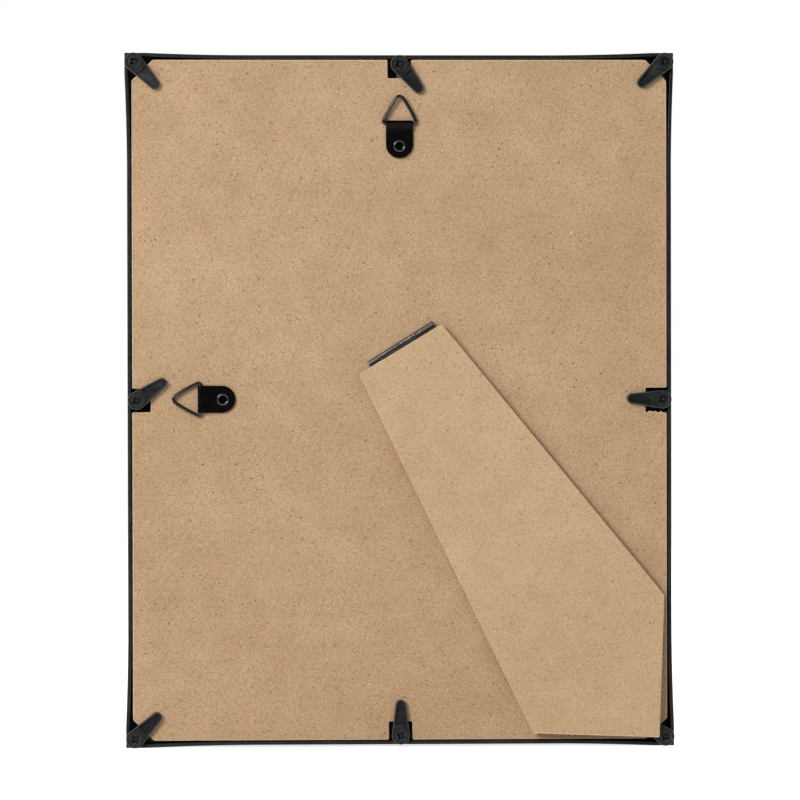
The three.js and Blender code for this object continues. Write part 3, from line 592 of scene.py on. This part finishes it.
def cover(bm, *loops):
    """Flat faces inside the first loop and outside the others."""
    edges = [bm.edges.get((loop[order - 1], loop[order])) for loop in loops for order in range(len(loop))]
    bmesh.ops.triangle_fill(bm, use_beauty=True, edges=edges)


def make_panel():
    bm = solid_copy("backing_panel")
    tear_notch(bm)
    round_edges(bm, upright_edges(bm), PANEL_CORNER_ROUND, 3)
    round_edges(bm, sharp_edges(bm), BOARD_ROUND, 2)
    mark_cut_faces(bm)
    show(bm, "backing_panel", [panel_face, board_edge])


def mark_pale_edge(bm):
    """Gives the third finish to a narrow band of the outer face, along the side that looks down."""
    outer = max(bm.faces, key=lambda face: face.calc_area() * face.normal.dot(OUT))
    middle = outer.calc_center_median()
    for band in bmesh.ops.inset_region(bm, faces=[outer], thickness=PALE_EDGE)["faces"]:
        side = max(band.edges, key=lambda edge: edge.calc_length())
        across = (side.verts[1].co - side.verts[0].co).cross(OUT).normalized()
        if across.dot(band.calc_center_median() - middle) < 0.0:
            across = -across
        band.material_index = 2 if across.z < DOWN_LOOKING else 0


def make_strut():
    bm = solid_copy("easel_strut")
    round_edges(bm, upright_edges(bm), STRUT_CORNER_ROUND, 5)
    round_edges(bm, sharp_edges(bm), BOARD_ROUND, 2)
    mark_cut_faces(bm)
    mark_pale_edge(bm)
    show(bm, "easel_strut", [strut_face, strut_edge, raised_edge])


def button_lean():
    """Direction, seen from the head's middle, of the point where its side begins."""
    return math.acos((BUTTON_HEAD_RADIUS - BUTTON_TIP_RADIUS) / (BUTTON_REACH - BUTTON_TIP_RADIUS))


def teardrop(grow):
    """A button's outline, nose along x: a round head at the pivot and a smaller round tip."""
    lean = button_lean()
    head = arc(0.0, 0.0, BUTTON_HEAD_RADIUS + grow, lean, 2 * math.pi - lean, HEAD_STEPS)
    tip_at = BUTTON_REACH - BUTTON_TIP_RADIUS
    return head + arc(tip_at, 0.0, BUTTON_TIP_RADIUS + grow, -lean, lean, TIP_STEPS)


def pocket(grow):
    """The pocket in a button's nose: within an even rim, and round about the pivot at its start."""
    lean = button_lean()
    side = BUTTON_HEAD_RADIUS - POCKET_RIM + grow
    start = POCKET_START - grow
    corner = lean - math.acos(side / start)
    tip_at = BUTTON_REACH - BUTTON_TIP_RADIUS
    tip = arc(tip_at, 0.0, BUTTON_TIP_RADIUS - POCKET_RIM + grow, -lean, lean, TIP_STEPS)
    return tip + arc(0.0, 0.0, start, corner, -corner, POCKET_STEPS)


def mark_button_faces(bm, top):
    """A painted highlight goes on rounded edges, and painted shade on what lies below the top and faces out."""
    for face in bm.faces:
        if ROUNDED_LEAN[0] < face.normal.z < ROUNDED_LEAN[1]:
            face.material_index = 1
        # low faces that face out get the painted shade
        elif face.normal.z > 0.0 and face.calc_center_median().z < top - POCKET_ROUND:
            face.material_index = 2


def make_button(place):
    node = "turn_button_" + place
    low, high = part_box(node)
    top = high[1] - low[1]
    seat = top - SEAT_DEPTH
    edge = [(-inset, top - drop) for inset, drop in rounding(BUTTON_ROUND)]
    rim = [(inset, top - drop) for inset, drop in rounding(POCKET_ROUND)]
    sink = [(SEAT_RADIUS + inset, top - drop) for inset, drop in rounding(SEAT_ROUND)]
    neck = seat - (SEAT_RADIUS - SCREW_HOLE_RADIUS)
    bm = bmesh.new()
    underside, face = wall(bm, teardrop, [(-POCKET_ROUND, 0.0), (0.0, POCKET_ROUND)] + edge)
    bore = [(SCREW_HOLE_RADIUS, 0.0), (SCREW_HOLE_RADIUS, neck), (SEAT_RADIUS, seat)]
    hole, mouth = wall(bm, circle, bore + sink)
    floor, brim = wall(bm, pocket, [(-POCKET_DRAFT, top - POCKET_DEPTH)] + rim)
    cover(bm, face, mouth, brim)
    cover(bm, underside, hole)
    cover(bm, floor)
    bmesh.ops.recalc_face_normals(bm, faces=bm.faces)
    mark_button_faces(bm, top)
    pivot = Vector(JOINTS["button_turn_" + place]["pos_m"])
    corners = [vert.co - pivot for vert in frame["nodes"][node].data.vertices]
    nose = sum((corner for corner in corners if corner.length > BUTTON_REACH - BUTTON_TIP_RADIUS), Vector())
    nose = (nose - OUT * nose.dot(OUT)).normalized()
    turned = Matrix((nose, OUT.cross(nose), OUT)).transposed().to_4x4()
    bm.transform(Matrix.Translation((pivot.x, low[1], pivot.z)) @ turned)
    show(bm, node, [button_black, button_highlight, pocket_shade])


def cross(grow):
    """The outline of a screw's cross recess."""
    arm = RECESS_ARM + grow
    half = RECESS_HALF + grow
    middle = RECESS_MIDDLE + grow
    quarter = [(arm - RECESS_END_CUT, -half), (arm, RECESS_END_CUT - half), (arm, half - RECESS_END_CUT),
               (arm - RECESS_END_CUT, half), (middle, middle)]
    points = []
    for _ in range(4):
        points += quarter
        quarter = [(-y, x) for x, y in quarter]
    return points


def make_screw(place, turn):
    node = "turn_button_screw_" + place
    low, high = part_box(node)
    top = high[1] - low[1]
    neck = top - (SCREW_HEAD_RADIUS - SCREW_RADIUS)
    profile = [(SCREW_RADIUS - SCREW_TIP / 2, 0.0), (SCREW_RADIUS, SCREW_TIP)]
    threads = int((neck - SCREW_TIP) / THREAD_PITCH)
    for thread in range(threads):
        crest = SCREW_TIP + (thread + 1) * THREAD_PITCH
        profile += [(SCREW_RADIUS - THREAD_DEPTH, crest - THREAD_PITCH / 2), (SCREW_RADIUS, crest)]
    shoulder = SCREW_HEAD_RADIUS - SCREW_HEAD_ROUND
    profile += [(SCREW_RADIUS, neck), (shoulder, top - SCREW_HEAD_ROUND)]
    profile += [(shoulder + inset, top - drop) for inset, drop in reversed(rounding(SCREW_HEAD_ROUND / 2))]
    bm = bmesh.new()
    point, outer = wall(bm, circle, profile)
    recess = [(-RECESS_TAPER, top - RECESS_DEPTH)]
    recess += [(inset, top - drop) for inset, drop in rounding(RECESS_ROUND)]
    outside = set(bm.faces)
    floor, mouth = wall(bm, cross, recess)
    # the recess walls get the painted shade
    for face in set(bm.faces) - outside:
        face.material_index = 1
    dip = bm.verts.new((0.0, 0.0, top - RECESS_DEPTH - RECESS_CONE))
    for order in range(len(floor)):
        bm.faces.new((floor[order - 1], floor[order], dip)).material_index = 2
    cover(bm, point)
    cover(bm, outer, mouth)
    bmesh.ops.recalc_face_normals(bm, faces=bm.faces)
    pivot = Vector(JOINTS["button_turn_" + place]["pos_m"])
    turned = Matrix.Rotation(-math.pi / 2, 4, "X") @ Matrix.Rotation(turn, 4, "Z")
    bm.transform(Matrix.Translation((pivot.x, low[1], pivot.z)) @ turned)
    show(bm, node, [screw_black, recess_painted_shade, recess_worn])


def bowed_side(start, leaving, end, arriving):
    """Points between two bends, on a line that leaves the first and meets the second smoothly."""
    reach = math.dist(start, end) / 3
    first = (start[0] - reach * math.sin(leaving), start[1] + reach * math.cos(leaving))
    second = (end[0] + reach * math.sin(arriving), end[1] - reach * math.cos(arriving))
    points = interpolate_bezier(start, first, second, end, SIDE_STEPS + 1)
    return [(point.x, point.y) for point in points[1:-1]]


def ring_line():
    """The wire's middle line: from the joint in the bar round two bends and the apex, and back."""
    bend_at = STRAP_WIDTH / 2 + RING_PAST_STRAP
    apex_at = RING_HEIGHT - WIRE_RADIUS - RING_APEX_BEND
    rise = apex_at - RING_BASE_BEND
    spread = math.hypot(bend_at, rise)
    side = math.atan2(rise, -bend_at) - math.acos((RING_BASE_BEND - RING_APEX_BEND) / spread)
    lower = side - RING_SIDE_BOW
    upper = side + RING_SIDE_BOW
    first = arc(bend_at, RING_BASE_BEND, RING_BASE_BEND, -math.pi / 2, lower, BEND_STEPS)
    apex = arc(0.0, apex_at, RING_APEX_BEND, upper, math.pi - upper, BEND_STEPS)
    last = arc(-bend_at, RING_BASE_BEND, RING_BASE_BEND, math.pi - lower, 1.5 * math.pi, BEND_STEPS)
    points = [(RING_JOINT_GAP / 2, 0.0)] + first
    points += bowed_side(first[-1], lower, apex[0], upper) + apex
    points += bowed_side(apex[-1], math.pi - upper, last[0], math.pi - lower) + last
    points.append((-RING_JOINT_GAP / 2, 0.0))
    return [Vector((x, y, 0.0)) for x, y in points]


def hanger_place(use, lift):
    """From the hanger's own axes, bar along x and panel in the x-y plane, to the frame."""
    joint = JOINTS["ring_swing_" + use]
    along = Vector(joint["axis"]).normalized()
    up = OUT.cross(along)
    turned = Matrix((along, up, OUT)).transposed().to_4x4()
    return Matrix.Translation(joint["pos_m"]) @ turned @ Matrix.Rotation(lift, 4, "X")


def make_ring(use):
    line = ring_line()
    lift = math.radians(-JOINTS["ring_swing_" + use]["range_deg"][0])
    bm = bmesh.new()
    rings = []
    for order, point in enumerate(line):
        ahead = line[min(order + 1, len(line) - 1)] - line[max(order - 1, 0)]
        across = Vector((ahead.y, -ahead.x, 0.0)).normalized() * WIRE_RADIUS
        rise = Vector((0.0, 0.0, WIRE_RADIUS))
        turns = [2 * math.pi * side / WIRE_SIDES for side in range(WIRE_SIDES)]
        section = [point + across * math.cos(turn) + rise * math.sin(turn) for turn in turns]
        rings.append([bm.verts.new(place) for place in section])
    for first, second in zip(rings, rings[1:]):
        for side in range(WIRE_SIDES):
            after = (side + 1) % WIRE_SIDES
            bm.faces.new((first[side], first[after], second[after], second[side]))
    bm.faces.new(rings[0][::-1])
    bm.faces.new(rings[-1])
    bmesh.ops.recalc_face_normals(bm, faces=bm.faces)
    bm.transform(hanger_place(use, lift))
    show(bm, "hanger_ring_" + use, [wire_black])


def make_eyelet(use):
    """A hollow rivet with a rolled rim, turned about its own axis; the floor inside its bore gets painted shade in
    the strap's black.
    """
    node = "hanger_eyelet_" + use
    low, high = (Vector(corner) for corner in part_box(node))
    middle = (low + high) / 2
    foot, top = low.y, high.y
    rim_level = top - EYELET_ROLL_RISE
    roll_middle = (EYELET_FLANGE + EYELET_BORE) / 2
    roll_half = (EYELET_FLANGE - EYELET_BORE) / 2
    foot_rim = foot + EYELET_FOOT_RIM
    profile = [(0.0, foot), (EYELET_FLANGE, foot), (EYELET_FLANGE, foot_rim),
               (EYELET_BARREL, foot_rim), (EYELET_BARREL, rim_level)]
    for step in range(ROLL_STEPS + 1):
        turn = math.pi * step / ROLL_STEPS
        radius = roll_middle + roll_half * math.cos(turn)
        profile.append((radius, rim_level + EYELET_ROLL_RISE * math.sin(turn)))
    profile += [(EYELET_BORE, foot + EYELET_FOOT_THICK), (0.0, foot + EYELET_FOOT_THICK)]
    bm = bmesh.new()
    verts = [bm.verts.new((middle.x + radius, level, middle.z)) for radius, level in profile]
    edges = [bm.edges.new(pair) for pair in zip(verts, verts[1:])]
    bmesh.ops.spin(bm, geom=verts + edges, cent=middle, axis=OUT, angle=2 * math.pi, steps=EYELET_SEGMENTS)
    bmesh.ops.remove_doubles(bm, verts=bm.verts, dist=MERGE_DISTANCE)
    bmesh.ops.recalc_face_normals(bm, faces=bm.faces)
    # painted shade: the faces inside the bore that face out take the strap's black
    for face in bm.faces:
        off_axis = face.calc_center_median() - middle
        off_axis.y = 0.0
        in_bore = off_axis.length < EYELET_BORE - MERGE_DISTANCE
        face.material_index = int(in_bore and face.normal.dot(OUT) > FACING_OUT)
    show(bm, node, [eyelet_plated, strap_black])


make_moulding()
rounded_piece("glazing", GLASS_ROUND, 2, [sheet_glass])
make_panel()
make_strut()
screw_luck = random.Random(SCREW_SEED)
for place in PLACES:
    make_button(place)
    make_screw(place, screw_luck.uniform(*SCREW_TURN))
for node in ("hinge_panel_leaf", "hinge_strut_leaf", "hinge_pin"):
    rounded_piece(node, HINGE_ROUND, 2, [hinge_black])
for node in ("hanger_strap_portrait", "hanger_strap_landscape"):
    rounded_piece(node, STRAP_ROUND, 2, [strap_black, strap_edge])
for use in ("portrait", "landscape"):
    make_ring(use)
    make_eyelet(use)
sheet = frame["nodes"]["insert_sheet"]
sheet.data.materials.clear()
sheet.data.materials.append(blank_paper.material)


# Floor, light and camera
def seen_directly(tree):
    """1 for rays from the camera and for mirrored and refracted ones, 0 for scattered light."""
    path = add_node(tree, "LightPath")
    inputs = {0: path.outputs["Is Camera Ray"], 1: path.outputs["Is Glossy Ray"]}
    either = add_node(tree, "Math", inputs, operation="MAXIMUM").outputs["Value"]
    inputs = {0: either, 1: path.outputs["Is Transmission Ray"]}
    return add_node(tree, "Math", inputs, operation="MAXIMUM").outputs["Value"]


def make_world():
    """White all round, and evenly lit; in mirrored light the room behind the camera is dim."""
    world = bpy.data.worlds.new("white_studio")
    bpy.context.scene.world = world
    world.use_nodes = True
    tree = world.node_tree
    tree.nodes.clear()
    direction = add_node(tree, "TexCoord").outputs["Generated"]
    outward = add_node(tree, "SeparateXYZ", {"Vector": direction}).outputs["Y"]
    inputs = {"Value": outward, "From Min": ROOM_EDGE[0], "From Max": ROOM_EDGE[1]}
    inputs |= {"To Min": 1.0, "To Max": ROOM_GLOW}
    room = add_node(tree, "MapRange", inputs, interpolation_type="SMOOTHSTEP").outputs["Result"]
    path = add_node(tree, "LightPath")
    ambient = add_node(tree, "Background", {"Color": WHITE, "Strength": AMBIENT})
    mirrored = add_node(tree, "Background", {"Color": WHITE, "Strength": room})
    backdrop = add_node(tree, "Background", {"Color": WHITE, "Strength": 1.0})
    inputs = {0: path.outputs["Is Glossy Ray"], 1: ambient.outputs[0], 2: mirrored.outputs[0]}
    bounced = add_node(tree, "MixShader", inputs)
    inputs = {0: path.outputs["Is Camera Ray"], 1: path.outputs["Is Transmission Ray"]}
    through = add_node(tree, "Math", inputs, operation="MAXIMUM")
    inputs = {0: through.outputs["Value"], 1: bounced.outputs[0], 2: backdrop.outputs[0]}
    mixed = add_node(tree, "MixShader", inputs)
    add_node(tree, "OutputWorld", {"Surface": mixed.outputs[0]})


def make_floor():
    mesh = bpy.data.meshes.new("floor")
    corners = [(-FLOOR_REACH, -FLOOR_REACH, 0.0), (FLOOR_REACH, -FLOOR_REACH, 0.0),
               (FLOOR_REACH, FLOOR_END, 0.0), (-FLOOR_REACH, FLOOR_END, 0.0)]
    mesh.from_pydata(corners, [], [(0, 1, 2, 3)])
    floor = bpy.data.objects.new("floor", mesh)
    floor.location.z = cad_box[0][2] - FLOOR_GAP
    bpy.context.scene.collection.objects.link(floor)
    material = bpy.data.materials.new("pale_floor")
    material.use_nodes = True
    tree = material.node_tree
    tree.nodes.clear()
    lit = add_node(tree, "BsdfDiffuse", {"Color": FLOOR_WHITE})
    glow = add_node(tree, "Emission", {"Color": WHITE, "Strength": FLOOR_GLOW})
    bright = add_node(tree, "AddShader", {0: lit.outputs[0], 1: glow.outputs[0]})
    mixed = add_node(tree, "MixShader", {0: seen_directly(tree), 1: lit.outputs[0], 2: bright.outputs[0]})
    add_node(tree, "OutputMaterial", {"Surface": mixed.outputs[0]})
    mesh.materials.append(material)


def make_lamp(name, target, direction, distance, size, power):
    data = bpy.data.lights.new(name, "AREA")
    data.shape = "SQUARE"
    data.size = size
    data.energy = power
    lamp = bpy.data.objects.new(name, data)
    lamp.location = target + direction.normalized() * distance
    lamp.rotation_euler = direction.to_track_quat("Z", "Y").to_euler()
    bpy.context.scene.collection.objects.link(lamp)


def make_camera(target):
    """Behind the frame, a little to the left of its middle, with the picture's slight roll."""
    data = bpy.data.cameras.new("camera")
    data.sensor_width = SENSOR
    data.lens = SENSOR * CAMERA_DISTANCE / (IMAGE_SIZE * PIXEL)
    level = math.cos(CAMERA_PITCH)
    away = Vector((math.sin(CAMERA_YAW) * level, math.cos(CAMERA_YAW) * level, math.sin(CAMERA_PITCH)))
    right = Vector((0.0, 0.0, 1.0)).cross(away).normalized()
    up = away.cross(right)
    leaning_up = up * math.cos(CAMERA_ROLL) + right * math.sin(CAMERA_ROLL)
    leaning_right = right * math.cos(CAMERA_ROLL) - up * math.sin(CAMERA_ROLL)
    turned = Matrix((leaning_right, leaning_up, away)).transposed().to_4x4()
    camera = bpy.data.objects.new("camera", data)
    camera.matrix_world = Matrix.Translation(target + away * CAMERA_DISTANCE) @ turned
    bpy.context.scene.collection.objects.link(camera)
    bpy.context.scene.camera = camera


panel_low, panel_high = (Vector(corner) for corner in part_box("backing_panel"))
middle = (panel_low + panel_high) / 2
middle.y = panel_high.y
make_world()
make_floor()
make_lamp("key", middle, KEY_DIRECTION, KEY_DISTANCE, KEY_SIZE, KEY_POWER)
make_lamp("front_fill", middle, FILL_DIRECTION, FILL_DISTANCE, FILL_SIZE, FILL_POWER)
make_camera(middle)
bpy.context.scene.view_settings.view_transform = "Standard"
